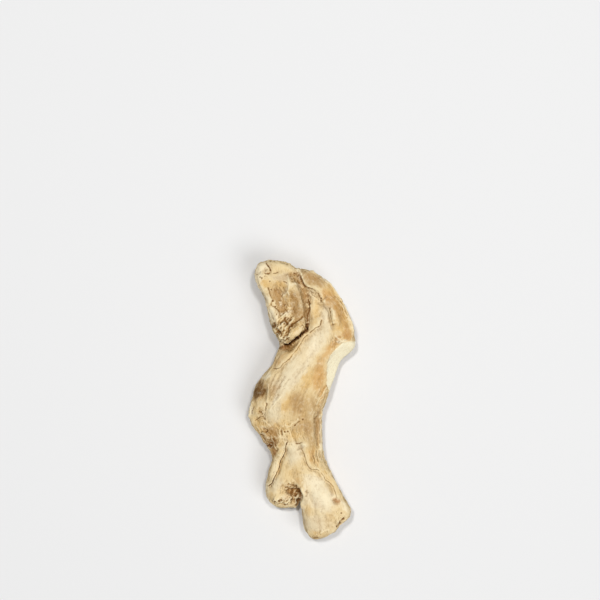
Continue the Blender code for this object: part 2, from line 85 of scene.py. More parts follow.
def read_vectors(mesh, attribute):
    """The mesh's points or normals as rows of three numbers."""
    flat = np.empty(len(mesh.vertices) * 3, np.float32)
    mesh.vertices.foreach_get(attribute, flat)
    return flat.reshape(-1, 3).astype(float)


hidden_side = rhizome.vertex_groups.new(name="hidden_side")
faces_down = np.nonzero(read_vectors(rhizome.data, "normal")[:, 2] < HIDDEN_NORMAL)[0]
hidden_side.add(faces_down.tolist(), 1.0, "REPLACE")
quads = len(rhizome.data.polygons)
thin = rhizome.modifiers.new("thin", "DECIMATE")
thin.ratio = min(1.0, TRIANGLES_WANTED / (2 * quads))
thin.vertex_group = hidden_side.name
bpy.ops.object.modifier_apply(modifier="thin")
rhizome.vertex_groups.clear()

# The fibres
# Tough strands run the length of the stem, and draw its skin into long folds as it dries. A point's place
# among them is how far it lies between the left and right outline, and how far along the stem it is.

# The scale of the photograph, its pixel over the origin, and the outlines in its pixels, from the top down.
MM_PER_PIXEL = 0.35
MIDDLE_PIXEL = (301.85, 399.3)
LEFT_OUTLINE = [
    (262, 250), (257, 275), (268, 310), (275, 345), (254, 385), (248, 415), (262, 445), (271, 462),
    (264, 490), (262, 550),
]
RIGHT_OUTLINE = [
    (300, 250), (323, 275), (346, 310), (356, 345), (334, 385), (321, 415), (322, 445), (325, 462),
    (340, 490), (356, 550),
]
# The strands' room from outline to outline in mm, how they are drawn out and flattened, and how far they
# wander in mm.
STRAND_ROOM = 26.0
STRAND_DRAWN_OUT = 0.1
STRAND_FLATNESS = 0.7
STRAND_WANDER = 0.5
# How each finer layer of noise fades, and how much finer it is.
LAYER_FADE = 1.0
LAYER_FINENESS = 2.0


def plan_of(pixels):
    """Pixels of the photograph as plan places in millimetres."""
    found = (np.array(pixels, float) - MIDDLE_PIXEL) * MM_PER_PIXEL
    return found * (1, -1)


def rounded(rows, per_span=4):
    """Catmull-Rom through rows of numbers, per_span new rows for each gap."""
    rows = np.asarray(rows, float)
    padded = np.vstack([2 * rows[0] - rows[1], rows, 2 * rows[-1] - rows[-2]])
    found = []
    for i in range(len(rows) - 1):
        before, start, end, after = padded[i : i + 4]
        for count in range(per_span):
            t = count / per_span
            bend = (end - before) * t
            bend += (2 * before - 5 * start + 4 * end - after) * t**2
            bend += (3 * start - before - 3 * end + after) * t**3
            found.append(start + bend / 2)
    return np.array([*found, rows[-1]])


def eased(values, low, high):
    """0 below low, 1 above high, and a smooth rise between."""
    t = np.clip((values - low) / (high - low), 0, 1)
    return t * t * (3 - 2 * t)


def across_at(points, outline):
    """The outline's place across, at each point's place along."""
    line = rounded(plan_of(outline), 8)[::-1]
    return np.interp(points[:, 1], line[:, 1], line[:, 0])


def strand_places(points):
    """Places across, along and through the strands, in millimetres, drawn out along them."""
    left = across_at(points, LEFT_OUTLINE)
    right = across_at(points, RIGHT_OUTLINE)
    across = (points[:, 0] - left) / (right - left) * STRAND_ROOM
    return np.column_stack([across, points[:, 1] * STRAND_DRAWN_OUT, points[:, 2] * STRAND_FLATNESS])


def speckle(points, size, layers=1, seed=0):
    """Smooth unrepeating noise, about -1 to 1, at points in millimetres. A seed gives another pattern."""
    places = (Vector(p) / size for p in points + seed)
    return np.array([noise.fractal(place, LAYER_FADE, LAYER_FINENESS, layers) for place in places])


def thin_ridges(field, sharpness):
    """Ridges of height 1 along the lines where a field crosses zero."""
    return (1 - np.abs(field)) ** sharpness


def peeled(field, edge=0.8):
    """Thin layers that follow a field: each ends in a small cliff. Heights from -1 to 0."""
    layer = np.floor(field)
    return layer + eased(field - layer, edge, 1) - field


# The relief of the skin
# Drying skin shrinks into folds and papery wrinkles, cracks along its old scars, and peels in thin layers.
# Broken ends are ragged and a knife cut is flat. A place counts in plan, on skin that faces up.

# Cracks and creases: depth and width in mm, darkness, and the line in pixels of the photograph. A crack of
# darkness 1 is dark all along, and the others are broken.
# A crack's darkness is painted shade in it.
CREASES = [
    # on the knob
    (0.78, 0.5, 1.0, [(307, 321), (306.8, 325), (306.2, 328.6), (303.4, 331.4), (300, 334.4), (296, 338),
                      (292, 341.4), (288.4, 344), (285, 344.2), (283, 342.4)]),
    (0.48, 0.24, 0.8, [(307.4, 298), (308.2, 301), (309.2, 306), (308, 312), (307, 317), (307, 322)]),
    (0.48, 0.28, 0.9, [(299.6, 274.6), (300.6, 278), (302, 281.6), (303.6, 284.6), (306, 287.4)]),
    (0.48, 0.28, 0.95, [(265.6, 261.6), (267, 264.6), (269.2, 268), (271, 272)]),
    (0.36, 0.24, 0.65, [(263.4, 272), (266, 273.4), (269, 273.2), (271.4, 272)]),
    (0.18, 0.16, 0.6, [(271.6, 273.2), (275.4, 272.6), (279, 271.4)]),
    (0.18, 0.16, 0.65, [(282.4, 281), (285, 281.8), (288, 283.6)]),
    (0.24, 0.5, 0.25, [(266.6, 286), (268.4, 290), (270.2, 295), (272, 299), (270.6, 303), (271, 305),
                       (274, 307), (277.4, 309.6), (278.6, 313), (278, 318)]),
    (0.3, 0.35, 0.55, [(304, 315), (301, 317.6), (297.6, 319.6), (294.6, 322.4), (291, 325), (288.6, 328),
                       (288, 332), (286.4, 336)]),
    (0.48, 0.35, 0.95, [(274.8, 322), (273.8, 325), (272.6, 328)]),
    (0.48, 0.35, 0.95, [(275.6, 329.6), (279, 330.8), (282, 333.8)]),
    (0.42, 0.3, 0.85, [(286, 315), (284.4, 318), (285.4, 321), (288.2, 324)]),
    (0.36, 0.28, 0.8, [(291.2, 314.4), (290.6, 318), (289, 320.6)]),
    (0.42, 0.3, 0.85, [(278.4, 340.4), (282, 341)]),
    (0.36, 0.3, 0.75, [(290, 336.6), (286.6, 338), (283.6, 340)]),
    (0.3, 0.22, 0.6, [(275.6, 311.6), (276.2, 315.6)]),
    (0.24, 0.2, 0.6, [(299.6, 325.4), (302.4, 324), (303.2, 326.4), (301, 327.8)]),
    # on the band and shoulder
    (0.24, 0.2, 0.5, [(309.4, 301), (309.8, 305), (309.4, 309)]),
    (0.21, 0.22, 0.4, [(306, 287.4), (311, 288.8), (316, 292)]),
    (0.18, 0.22, 0.3, [(316, 292), (319, 296), (320.6, 301)]),
    (0.24, 0.16, 0.38, [(329.4, 306), (330.6, 311), (331.4, 317), (332.6, 325)]),
    (0.18, 0.2, 0.3, [(320, 298), (321, 301), (324, 302)]),
    (0.24, 0.18, 0.65, [(321.2, 318), (320.4, 322), (318.4, 325.4), (315, 327.2), (311.6, 330),
                        (308, 332.6)]),
    (0.24, 0.2, 0.4, [(342.6, 306), (345, 311), (347.6, 316)]),
    # on the trunk
    (0.18, 0.15, 0.6, [(308, 332.6), (303.4, 338), (299.6, 343.4), (296, 348.8), (292, 353.4),
                       (289.4, 357), (286.8, 359.8), (283.6, 361.6), (281.2, 364.6), (278.6, 366.8),
                       (275.6, 367.4), (271.9, 367.2)]),
    (0.12, 0.45, 0.2, [(282, 370), (276.6, 380), (272, 389), (268.4, 399)]),
    (0.12, 0.5, 0.16, [(285, 373), (280, 383), (275, 391), (270, 401)]),
    (0.12, 0.5, 0.12, [(289, 376), (284, 385), (277.6, 396)]),
    (0.12, 0.4, 0.16, [(276, 371), (271.6, 380), (269.6, 388)]),
    # on the bulge
    (0.3, 0.28, 0.45, [(266.6, 400), (266, 404), (264.8, 410)]),
    (0.24, 0.2, 0.35, [(254.6, 421), (256, 418.6), (258.8, 416.6), (263.4, 415)]),
    (0.24, 0.3, 0.25, [(262.6, 415.4), (266, 419)]),
    (0.3, 0.4, 0.4, [(257, 411), (259.4, 410.6), (261.6, 412.6), (260.6, 414)]),
    (0.42, 0.3, 0.9, [(263.6, 444), (266.6, 445.6), (270.4, 444.8)]),
    (0.36, 0.35, 0.7, [(272, 436), (274, 440), (275.4, 446)]),
    (0.36, 0.26, 0.85, [(266.4, 426.6), (266.8, 429.6), (264.4, 432)]),
    (0.36, 0.26, 0.8, [(258.6, 434.4), (261.4, 434), (263, 437), (265.4, 441)]),
    (0.18, 0.25, 0.4, [(253.6, 404), (251.6, 410), (250.8, 414)]),
    # round the waist
    (0.3, 0.3, 0.6, [(275.4, 446), (277.6, 448), (275, 451)]),
    (0.36, 0.26, 0.6, [(280.4, 427), (281.2, 431), (281.6, 435)]),
    (0.18, 0.2, 0.35, [(283, 430.6), (286, 430), (288.6, 429.4)]),
    (0.18, 0.2, 0.18, [(293, 426), (296, 422), (300.6, 418.6)]),
    (0.24, 0.2, 0.35, [(294, 441.6), (297.6, 442), (300.5, 440.6), (303, 439.6)]),
    (0.18, 0.16, 0.65, [(300.6, 446.4), (303.4, 450.4), (304.6, 455), (306, 460), (308.2, 464.6),
                        (311, 467), (315.9, 467.2), (319.6, 469.6)]),
    (0.06, 0.35, 0.5, [(316.5, 408), (317.4, 418), (318.6, 425), (319, 436), (319.4, 444)]),
    (0.18, 0.16, 0.35, [(312.4, 450), (313.8, 456), (314, 462)]),
    (0.18, 0.16, 0.35, [(315.6, 448), (316.8, 455), (318.4, 461)]),
    # on the left lobe and in the notch
    (0.48, 0.19, 1.0, [(287.3, 439), (285.2, 443.7), (284.8, 449), (283.3, 453.6), (280.6, 459),
                       (279, 463), (278.6, 466.6), (276.4, 470.4), (274.8, 475), (272.4, 481),
                       (270.4, 483.6), (267.8, 486.2)]),
    (0.24, 0.24, 0.5, [(286.4, 482.6), (290.6, 483), (294.6, 484.4)]),
    (0.24, 0.24, 0.5, [(283.4, 487.6), (286, 484.8), (288.8, 485.8)]),
    (0.36, 0.35, 0.6, [(289.4, 488), (292, 489.4), (291.4, 492.4), (288.8, 493)]),
    (0.36, 0.4, 0.7, [(292.6, 489), (296, 488.4), (300, 490)]),
    (0.3, 0.4, 0.6, [(297, 497), (298.6, 501), (298, 506)]),
    # on the right lobe
    (0.18, 0.16, 0.6, [(319.6, 469.6), (323, 474), (326, 478.6), (330, 481.6), (333, 485.6), (335.6, 492),
                       (337.2, 497)]),
    (0.18, 0.45, 0.25, [(306.6, 486.6), (306.6, 491.6), (305.6, 496)]),
    (0.24, 0.35, 0.35, [(336, 525), (339, 521), (341.6, 518), (343.4, 516)]),
    (0.24, 0.3, 0.5, [(310.5, 535.4), (314.5, 536.8), (319.4, 536.4)]),
]
# Where the solid's own groove is wider than the crack in the skin: height and width of its filling in mm.
FILLED_GROOVES = [
    # on the band and shoulder
    (0.6, 1.0, [(322, 299), (325, 303), (328, 307.6), (330, 312), (331.6, 317), (333, 324)]),
    # round the waist
    (0.3, 0.6, [(316.5, 404), (317.4, 418), (318.6, 425), (319, 436), (319.4, 450)]),
    (0.42, 0.6, [(287.3, 439), (285.2, 443.7), (284.8, 449), (283.3, 453.6), (280.6, 459), (279, 463),
                 (276.4, 470.4), (274.8, 475), (272.4, 481), (267.8, 486.2)]),
    # on the left lobe and in the notch
    (0.3, 0.8, [(290, 442), (288.4, 447), (287.4, 452), (285.8, 457), (283.4, 462), (281, 468),
                (278.4, 474), (275.6, 480), (271, 486)]),
    # on the right lobe
    (0.3, 0.8, [(298, 447), (300.6, 453), (302.4, 459), (304.6, 465), (308.6, 470), (314, 471),
                (318, 474), (322, 479), (325.6, 483), (329.4, 487), (332, 492), (333.6, 498)]),
    (0.24, 0.6, [(300.6, 446.4), (303.4, 450.4), (304.6, 455), (306, 460), (308.2, 464.6), (311, 467),
                 (315.9, 467.2), (319.6, 469.6), (323, 474), (326, 478.6), (330, 481.6), (333, 485.6),
                 (335.6, 492), (337.2, 497)]),
]
# Raised rims and veins: height and width in mm, how pale their painted highlight is, and the line.
CRESTS = [
    # on the knob
    (0.5, 0.4, 1.3, [(295, 268), (298.6, 270.6), (301.2, 274.6), (303.4, 279.6), (306.4, 284.6),
                     (310, 286.8)]),
    (0.4, 0.5, 0.5, [(287, 274), (288.2, 279), (289, 284), (288.6, 290), (286, 293), (282.6, 296)]),
    (0.3, 0.5, 0.3, [(289, 290), (288.6, 297), (289, 303), (288, 309)]),
    (0.5, 0.3, 0.8, [(287, 311), (283.4, 314), (280, 318)]),
    (0.5, 0.3, 0.8, [(287.6, 325), (285, 327), (284, 330)]),
    (0.5, 0.3, 0.8, [(284, 320.4), (281, 325), (276.6, 329)]),
    (0.5, 0.3, 0.8, [(284.4, 342), (285, 337), (287.4, 333)]),
    (0.5, 0.3, 0.7, [(294.6, 316), (291, 320.6), (288, 324)]),
    (0.4, 0.3, 0.7, [(281, 335), (279.6, 338.4)]),
    (0.3, 0.4, 0.4, [(289.6, 282.6), (295, 283.6), (300.4, 285.4), (303.6, 288)]),
    # on the band and shoulder
    (0.35, 0.4, 1.0, [(330.4, 306.4), (332.8, 311), (334, 320)]),
    (0.4, 0.3, 0.8, [(333, 334), (337.6, 337.4), (341.6, 340.6), (354, 340.4)]),
    (0.4, 0.35, 0.6, [(310.8, 302.6), (311.2, 309), (310.6, 316), (310.2, 324), (308.4, 329)]),
    (0.45, 0.28, 1.1, [(320.8, 273.2), (327, 279.8), (333.2, 288.6), (340.2, 299), (345.6, 308),
                       (349.2, 315), (351.2, 322), (352.6, 332)]),
    (0.4, 0.25, 0.6, [(334, 296), (339.4, 303), (343.6, 309), (347.4, 317)]),
    # on the trunk
    (0.35, 0.28, 0.9, [(326.6, 385), (323, 391), (318.6, 397.6), (315, 404)]),
    (0.2, 0.25, 0.3, [(320, 386), (316.6, 392), (312.6, 401)]),
    (0.3, 0.3, 0.7, [(264.6, 379.4), (267.4, 376.6), (270.4, 372.6)]),
    (0.3, 0.3, 0.5, [(267.4, 381), (268.4, 388), (267.4, 396), (266.4, 402)]),
    # on the bulge
    (0.3, 0.3, 0.8, [(281.6, 395), (277, 399), (272, 405), (268.6, 411)]),
    (0.35, 0.3, 0.6, [(253.4, 399.6), (250.6, 406), (249, 412), (248.8, 418)]),
    (0.3, 0.25, 0.7, [(262.2, 425.6), (264.4, 425), (265.6, 427.4), (263.6, 429.4), (261.8, 427.8),
                      (262.2, 425.6)]),
    (0.3, 0.25, 0.6, [(254.4, 424.6), (257.4, 427), (259.6, 430.4), (261.4, 433.6)]),
    (0.3, 0.25, 0.6, [(260, 418), (264.4, 419.6), (267.4, 422.4), (269.6, 424.2)]),
    # round the waist
    (0.3, 0.3, 0.7, [(321.2, 409), (321, 424), (321.4, 440), (322.2, 450), (326, 462), (331.6, 474)]),
    (0.3, 0.35, 0.4, [(282.6, 443), (281.2, 451), (277, 460.6), (274.4, 470)]),
    (0.4, 0.4, 0.6, [(300.4, 443.4), (302.6, 441.6), (304.8, 444)]),
    (0.4, 0.6, 0.3, [(281, 426), (284.6, 423), (289, 424.4), (292, 421), (296, 419.6), (298.6, 415.4)]),
    # on the left lobe and in the notch
    (0.5, 0.5, 0.9, [(300.8, 484.4), (302.6, 488), (304, 492.6), (303.2, 498), (302, 503), (302, 508)]),
    (0.5, 0.45, 0.5, [(284, 489), (287.4, 486), (291, 486), (296.6, 486.8)]),
    (0.5, 0.5, 0.6, [(288.6, 490.4), (290.4, 491)]),
    (0.5, 0.4, 0.7, [(288, 499), (292, 495.6), (295.4, 498), (295, 503)]),
    (0.4, 0.3, 0.6, [(276, 500), (279.4, 500.4), (283, 499)]),
    # on the right lobe
    (0.3, 0.35, 0.4, [(318.6, 532), (322.4, 529.6), (325.4, 527.6), (330, 527)]),
]
# Torn edges of the skin, curled up on the line's left: height and reach in mm, and the line.
TORN_EDGES = [
    # on the knob
    (0.4, 1.5, [(278, 318), (278.6, 313), (277.4, 309.6), (274, 307), (271, 305), (270.6, 303),
                (272, 299), (270.2, 295), (268.4, 290), (266.6, 286)]),
    (0.35, 1.5, [(304, 315), (301, 317.6), (297.6, 319.6), (294.6, 322.4), (291, 325), (288.6, 328),
                 (288, 332), (286.4, 336)]),
    (0.25, 1.6, [(316.6, 291.8), (312.6, 289.6), (308.4, 288), (305, 286.4), (301.6, 281), (299.6, 275)]),
    # on the trunk
    (0.12, 2.0, [(271.6, 367.4), (275.7, 367.4), (279.5, 366.4), (284.6, 361), (289.4, 357), (296, 348.8),
                 (303.4, 338), (308, 332.6), (315, 327.2), (319.4, 324), (321.2, 318)]),
    # on the left lobe and in the notch
    (0.3, 1.6, [(267.8, 486.2), (272.4, 481), (274.8, 475), (277, 469), (280.6, 459), (284.3, 451.3),
                (285.2, 443.7), (287.3, 439)]),
]
# Pores and holes: place in pixels, radius and depth in mm.
PORES = [
    # on the knob
    (256.6, 274, 0.22, 0.2), (260, 276.8, 0.25, 0.3), (261.8, 277.8, 0.28, 0.3), (264.4, 276, 0.2, 0.2),
    (271, 289, 0.25, 0.3), (272.6, 300.4, 0.35, 0.4), (275, 306, 0.3, 0.3), (286.6, 322, 0.4, 0.4),
    (277.6, 325.6, 0.3, 0.3), (283, 336.6, 0.3, 0.3), (269.4, 281, 0.25, 0.2), (294, 273, 0.3, 0.15),
    # on the band and shoulder
    (320.6, 297.6, 0.3, 0.2),
    # on the bulge
    (269.4, 445, 0.5, 0.5),
    # round the waist
    (284.6, 430, 0.3, 0.3), (287.5, 429.4, 0.3, 0.3), (294.5, 423.6, 0.3, 0.2), (302.6, 418, 0.3, 0.2),
    # on the left lobe and in the notch
    (274.4, 499.8, 0.35, 0.4), (278.6, 499, 0.4, 0.5), (280.4, 498.2, 0.3, 0.3), (284.3, 503, 0.4, 0.4),
    (287, 502.4, 0.3, 0.3), (290.8, 497.6, 0.4, 0.3), (299, 491, 0.9, 0.8), (298, 500.6, 0.8, 0.9),
    (297, 504.6, 0.7, 0.6),
    # on the right lobe
    (342.8, 516.8, 0.45, 0.4), (339.2, 521, 0.4, 0.35), (336.8, 524.6, 0.35, 0.3),
    (340.6, 510.6, 0.3, 0.2),
]
# The low rim round a pore: its height as a share of the depth, and its place and width in the pore's radius.
PORE_RIM_HEIGHT = 0.3
PORE_RIM_RADIUS = 1.6
PORE_RIM_WIDTH = 0.5
# Oval patches: middle, half length and half width in pixels, turn in degrees, and strength. They fade so that
# half is left at the edge.
PATCH_FALL = 0.7
TORN_PATCHES = [
    # on the knob
    (281, 328, 11, 7, -62, 1), (286, 317, 6, 5, 0, 0.8), (290, 326, 8, 3, 45, 0.6),
    (281, 338, 6, 4, 0, 0.9), (273, 303, 4, 3, 0, 0.25), (307, 305, 14, 1.8, 88, 0.4),
    (284, 306, 5, 4, -50, 0.25), (296.4, 277, 6, 5, 0, 0.5),
    # on the band and shoulder
    (309.5, 305, 1.6, 3, 0, 0.6),
    # on the bulge
    (271, 441, 8, 6, 20, 0.3), (260, 412, 5, 4, 0, 0.3), (262, 434, 8, 3, -50, 0.2),
    # on the left lobe and in the notch
    (295, 492, 7, 6, 0, 1), (284, 500, 9, 3.5, -8, 0.5), (297, 500, 4, 5, 0, 0.9),
    (276, 500, 8, 3, 0, 0.5),
    # on the right lobe
    (340, 520, 5, 7, -50, 0.4),
]
ROUGH_PATCHES = [
    # on the knob
    (284, 298, 16, 12, -60, 0.8), (299, 304, 18, 8, 88, 0.7), (284, 328, 14, 12, -60, 1),
    (260, 270, 9, 8, 0, 0.5), (296, 277, 7, 6, 0, 1),
    # on the band and shoulder
    (314, 282, 10, 6, -35, 0.5), (313, 296, 8, 6, 0, 0.6), (336, 341, 6, 4, 40, 0.7),
    # on the trunk
    (258, 390, 8, 6, 60, 0.6), (283, 346, 6, 4, 40, 0.6), (322, 394, 8, 3, 70, 0.5),
    # on the bulge
    (258, 415, 10, 18, 0, 0.8), (268, 435, 12, 10, -45, 1),
    # round the waist
    (276, 455, 12, 4, 70, 0.6), (286, 426, 12, 6, 20, 0.6),
    # on the left lobe and in the notch
    (291, 490, 12, 8, 0, 1), (278, 501, 14, 5, 0, 0.9),
    # on the right lobe
    (341, 518, 8, 8, -50, 0.5), (335, 499, 4, 5, 0, 0.6), (316, 534, 10, 4, 0, 0.6),
]
WRINKLED_PATCHES = [
    # on the knob
    (262, 274, 6, 4, 0, 0.6), (284, 298, 14, 10, -60, 0.5), (303, 322, 8, 4, 60, 0.6),
    (295, 270, 9, 5, 0, 0.5),
    # on the band and shoulder
    (313, 296, 8, 6, 0, 0.7), (334, 340, 7, 5, 30, 0.5), (344, 305, 16, 4, -60, 0.5),
    # on the trunk
    (283, 345, 8, 5, 40, 0.5), (323, 395, 8, 4, 70, 0.6),
    # on the bulge
    (258, 412, 8, 12, 0, 0.5), (262, 432, 12, 8, -45, 0.8), (272, 440, 8, 8, 0, 0.8),
    # round the waist
    (276, 455, 8, 5, 70, 0.7), (316, 455, 12, 6, 80, 0.5), (280, 430, 14, 8, 30, 0.5),
    (300, 436, 12, 8, 0, 0.4),
    # on the left lobe and in the notch
    (288, 484, 9, 5, 0, 0.8), (278, 500, 12, 5, 0, 0.8),
    # on the right lobe
    (341, 517, 7, 6, -50, 0.6), (318, 531, 10, 5, 0, 0.5), (325, 470, 14, 4, -60, 0.4),
]
# The top edge of the cut face, with the face on its left, and how far the face reaches in mm.
CUT_EDGE = [
    (360, 340.4), (350, 340.6), (343, 341.6), (339.5, 344), (333, 350), (328.4, 357.4), (326.2, 370),
    (326.6, 384.7), (329, 390),
]
CUT_REACH = 12.0
CUT_WANDER = 0.25
# How far lines and patches wander, how far a line is felt, and how long its ends fade, all in mm.
LINE_WANDER = 0.22
LINE_REACH = 4.0
LINE_TAPER = 0.8


def near_line(plan, pixels, reach=LINE_REACH):
    """Points near a line in plan: which, how far off, on which side (left is 1), and a fade at its ends."""
    path = rounded(plan_of(pixels))
    inside = (plan > path.min(axis=0) - reach).all(axis=1) & (plan < path.max(axis=0) + reach).all(axis=1)
    which = np.nonzero(inside)[0]
    close = plan[which]
    gap = np.full(len(close), np.inf)
    side = np.ones(len(close))
    place = np.zeros(len(close))
    run = 0.0
    for start, end in zip(path[:-1], path[1:]):
        span = end - start
        length = np.hypot(*span)
        t = np.clip((close - start) @ span / length**2, 0, 1)
        away = close - start - t[:, None] * span
        distance = np.hypot(away[:, 0], away[:, 1])
        nearer = distance < gap
        turn = span[0] * away[:, 1] - span[1] * away[:, 0]
        gap[nearer] = distance[nearer]
        side[nearer] = np.where(turn < 0, -1.0, 1.0)[nearer]
        place[nearer] = run + t[nearer] * length
        run += length
    return which, gap, side, eased(place, 0, LINE_TAPER) * eased(run - place, 0, LINE_TAPER)


def patches(plan, rows):
    """Oval patches laid over each other, from 0 outside them to 1."""
    bare = np.ones(len(plan))
    for x, y, half_long, half_wide, turn, strength in rows:
        away = plan - plan_of((x, y))
        angle = math.radians(turn)
        along = away @ (math.cos(angle), math.sin(angle)) / (half_long * MM_PER_PIXEL)
        across = away @ (-math.sin(angle), math.cos(angle)) / (half_wide * MM_PER_PIXEL)
        bare *= 1 - strength * np.exp(-PATCH_FALL * np.hypot(along, across) ** 3)
    return 1 - bare


# Which way the skin faces, and where it is torn, rough or wrinkled.
mesh = rhizome.data
points = read_vectors(mesh, "co") / MM
normals = read_vectors(mesh, "normal")
facing_up = eased(normals[:, 2], -0.1, 0.35)
flank = eased(-normals[:, 2], -0.8, -0.1)
wander = np.column_stack([speckle(points, 1.5, 2, seed=11), speckle(points, 1.5, 2, seed=57)])
plan = points[:, :2] + LINE_WANDER * wander
torn = patches(plan, TORN_PATCHES) * facing_up
rough = np.maximum(patches(plan, ROUGH_PATCHES), 0.5 * flank)
wrinkled = np.maximum(patches(plan, WRINKLED_PATCHES), 0.8 * flank)

# The skin's forms. Their sizes are in mm, and most of them are drawn out along the strands.
strands = strand_places(points)
strands[:, 0] += STRAND_WANDER * wander[:, 0]
folds = speckle(strands, 1.3, 2)
pleats = speckle(strands * (1, 0.9, 1), 0.5, 2, seed=30)
lumps = speckle(points, 3.0, 3, seed=70)
ragged_places = points @ np.array(((0.7, 0.3, 0), (-0.7, 0.3, 0), (0, 0, 0.7)))
raw_flesh = speckle(ragged_places, 0.6, 3, seed=20)
papery = thin_ridges(speckle(strands * (0.34, 2.0, 0.34), 1.0, 2, seed=500), 5)
peel_field = 2.4 * speckle(strands * (0.36, 1, 0.36), 1.0, 3, seed=200)
peel = peeled(peel_field)
grit = speckle(points, 0.42, 1, seed=300)
veins = thin_ridges(speckle(strands * (0.45, 0.8, 0.45), 1.0, 2, seed=400), 8)
patchy = speckle(points, 1.6, 2, seed=120)

# Each form, its height in mm everywhere, and how much higher it is in its own places.
SKIN_FORMS = [
    (folds, 0.06, 0.1 * flank),
    (pleats, 0.02, 0.04 * flank),
    (lumps, 0.12, 0.0),
    (raw_flesh, 0.0, 0.45 * torn),
    (papery - 0.4, 0.0, 0.3 * wrinkled),
    (peel + 0.5, 0.045, 0.24 * wrinkled),
    (grit, 0.008, 0.085 * rough),
    (veins, 0.04, 0.0),
]
rise = np.zeros(len(points))
for form, everywhere, in_places in SKIN_FORMS:
    rise += (everywhere + in_places) * form

# The cut face is smoother than the skin, and its edge is broken by grit.
cut_face = np.zeros(len(points))
which, gap, side, _ = near_line(points[:, :2] + CUT_WANDER * wander, CUT_EDGE, CUT_REACH)
cut_face[which] = eased(gap * side + 0.2 * grit[which], -0.05, 0.15) * eased(normals[which, 2], -0.45, 0)
rise *= 1 - 0.55 * cut_face

# Lines and pores also leave how much painted shade each point gets in a crease, and how much painted
# highlight on a crest, for its colour.
crease_shade = np.zeros(len(points))
# Painted highlight on the ridges of papery wrinkles and on veins.
crest = np.maximum(0.2 * wrinkled * papery, 0.1 * veins)
for depth, width, darkness, line in CREASES:
    which, gap, _, fade = near_line(plan, line)
    jagged = np.maximum(gap + width * (0.6 * grit[which] + 0.4 * patchy[which]), 0)
    cut = facing_up[which] * fade * np.exp(-((jagged / width) ** 2))
    rise[which] -= depth * cut
    # Each crack is painted with shade, broken along it unless its darkness is 1.
    broken = darkness * (0.8 + 0.6 * patchy[which] + 0.5 * grit[which]) + (darkness == 1)
    crease_shade[which] = np.maximum(crease_shade[which], np.clip(broken, 0, 1) * cut)
for height, width, line in FILLED_GROOVES:
    which, gap, _, fade = near_line(plan, line)
    rise[which] += height * facing_up[which] * fade * np.exp(-((gap / width) ** 2))
for height, width, paleness, line in CRESTS:
    which, gap, _, fade = near_line(plan, line)
    raised = facing_up[which] * fade * np.exp(-gap / width)
    rise[which] += height * raised
    # Painted highlight along each crest.
    crest[which] = np.maximum(crest[which], paleness * raised * (0.6 + 0.5 * patchy[which]))
for height, reach, line in TORN_EDGES:
    which, gap, side, fade = near_line(plan, line)
    lifted = facing_up[which] * fade * eased(side * gap, -0.15, 0.25) * np.exp(-gap / reach)
    rise[which] += height * lifted
    # A painted highlight runs along each lifted edge.
    crest[which] = np.maximum(crest[which], 0.4 * lifted * np.exp(-gap / 0.3))
for x, y, radius, depth in PORES:
    away = plan - plan_of((x, y))
    gap = np.hypot(away[:, 0], away[:, 1]) / radius
    hole = facing_up * np.exp(-(gap**2))
    rim = facing_up * np.exp(-(((gap - PORE_RIM_RADIUS) / PORE_RIM_WIDTH) ** 2))
    rise += depth * (PORE_RIM_HEIGHT * rim - hole)
    # Each pore is painted with shade.
    crease_shade = np.maximum(crease_shade, 0.8 * hole)

# The flat spots that it lies on, below this height in mm, keep their place, and the skin stays in the
# solid's box.
FLAT_SPOT_HEIGHT = 0.2
rise *= 1 - eased(-normals[:, 2], 0.9, 0.99) * (points[:, 2] < FLAT_SPOT_HEIGHT)
points += normals * rise[:, None]
box_low, box_high = np.array([list(corner) for corner in cad_box]) / MM
for axis in (0, 1):
    low, high = points[:, axis].min(), points[:, axis].max()
    points[:, axis] = np.interp(points[:, axis], (low, high), (box_low[axis], box_high[axis]))
points[:, 2] = np.maximum(points[:, 2], 0) * min(1, box_high[2] / points[:, 2].max())
mesh.vertices.foreach_set("co", (points * MM).astype(np.float32).ravel())
mesh.update()
bpy.ops.object.shade_smooth()
